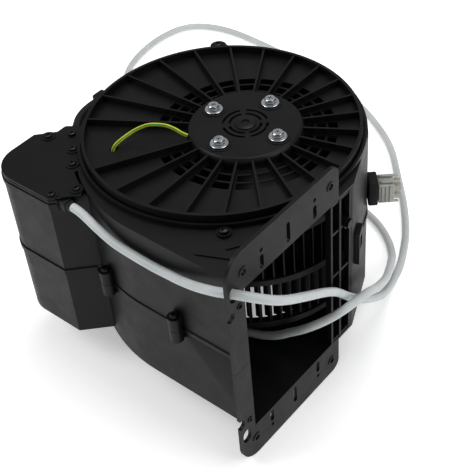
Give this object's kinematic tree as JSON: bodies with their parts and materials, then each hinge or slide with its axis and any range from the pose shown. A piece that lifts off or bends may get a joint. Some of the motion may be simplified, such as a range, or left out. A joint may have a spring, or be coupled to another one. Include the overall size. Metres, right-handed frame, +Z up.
{
  "type": "centrifugal fan",
  "caption": "Black plastic centrifugal blower: scroll casing, ribbed motor plate, squirrel-cage impeller, electronics box, eared outlet flange and white mains cable.",
  "frame": {"origin": "bottom centre of the part with the mains cable left out, on the surface it stands on", "axes": "+X is the discharge direction, out of the outlet flange; +Z is up along the impeller axis, from the stand ring to the motor plate; +Y is away from the outlet duct, along the longest side"},
  "size_m": [0.5006, 0.4889, 0.218],
  "materials": {
    "black_plastic": "fine satin moulded polypropylene",
    "white_nylon": "natural translucent nylon",
    "cable_sheath": "smooth white soft PVC",
    "zinc_steel": "bright zinc plating",
    "motor_steel": "plain machined steel",
    "copper_winding": "enamelled copper wire",
    "black_sleeving": "matt sleeving",
    "brown_wire": "PVC insulation",
    "earth_wire": "yellow PVC insulation with a green stripe",
    "circuit_board": "solder mask",
    "capacitor_can": "plain can"
  },
  "bodies": {
    "housing": {"bearing_bottom": "zinc_steel", "bearing_top": "zinc_steel", "box_lid": "black_plastic", "brown_wire": "brown_wire", "cable_connector": "white_nylon", "cable_gland": "black_plastic", "casing_clip": "black_plastic", "control_board": "circuit_board", "earth_wire": "earth_wire", "guard_screw": "zinc_steel", "inlet_stand_ring": "black_plastic", "lid_screw_1": "zinc_steel", "lid_screw_2": "zinc_steel", "lid_screw_3": "zinc_steel", "lid_screw_4": "zinc_steel", "lid_screw_5": "zinc_steel", "lid_screw_6": "zinc_steel", "lower_casing": "black_plastic", "mains_cable": "cable_sheath", "motor_plate": "black_plastic", "motor_plug": "white_nylon", "motor_screw_1": "zinc_steel", "motor_screw_2": "zinc_steel", "motor_screw_3": "zinc_steel", "motor_screw_4": "zinc_steel", "motor_shield_bottom": "motor_steel", "motor_shield_top": "motor_steel", "motor_washer_1": "zinc_steel", "motor_washer_2": "zinc_steel", "motor_washer_3": "zinc_steel", "motor_washer_4": "zinc_steel", "outlet_guard": "black_plastic", "plate_screw_back": "zinc_steel", "plate_screw_front": "zinc_steel", "plug_holder": "black_plastic", "run_capacitor": "capacitor_can", "seam_screw_back": "zinc_steel", "seam_screw_corner": "zinc_steel", "seam_screw_front": "zinc_steel", "seam_screw_left": "zinc_steel", "seam_screw_side": "zinc_steel", "stator_core": "motor_steel", "terminal_block": "white_nylon", "upper_casing": "black_plastic", "winding_bottom": "copper_winding", "winding_top": "copper_winding", "wire_sleeve": "black_sleeving"},
    "rotor": {"impeller": "black_plastic", "motor_shaft": "motor_steel", "rotor_core": "motor_steel", "impeller_nut": "zinc_steel"}
  },
  "joints": [
    {"name": "impeller_spin", "type": "hinge", "parent": "housing", "child": "rotor", "pos_m": [0.022, 0.01997, 0.109], "axis": [0, 0, 1], "continuous": true}
  ]
}
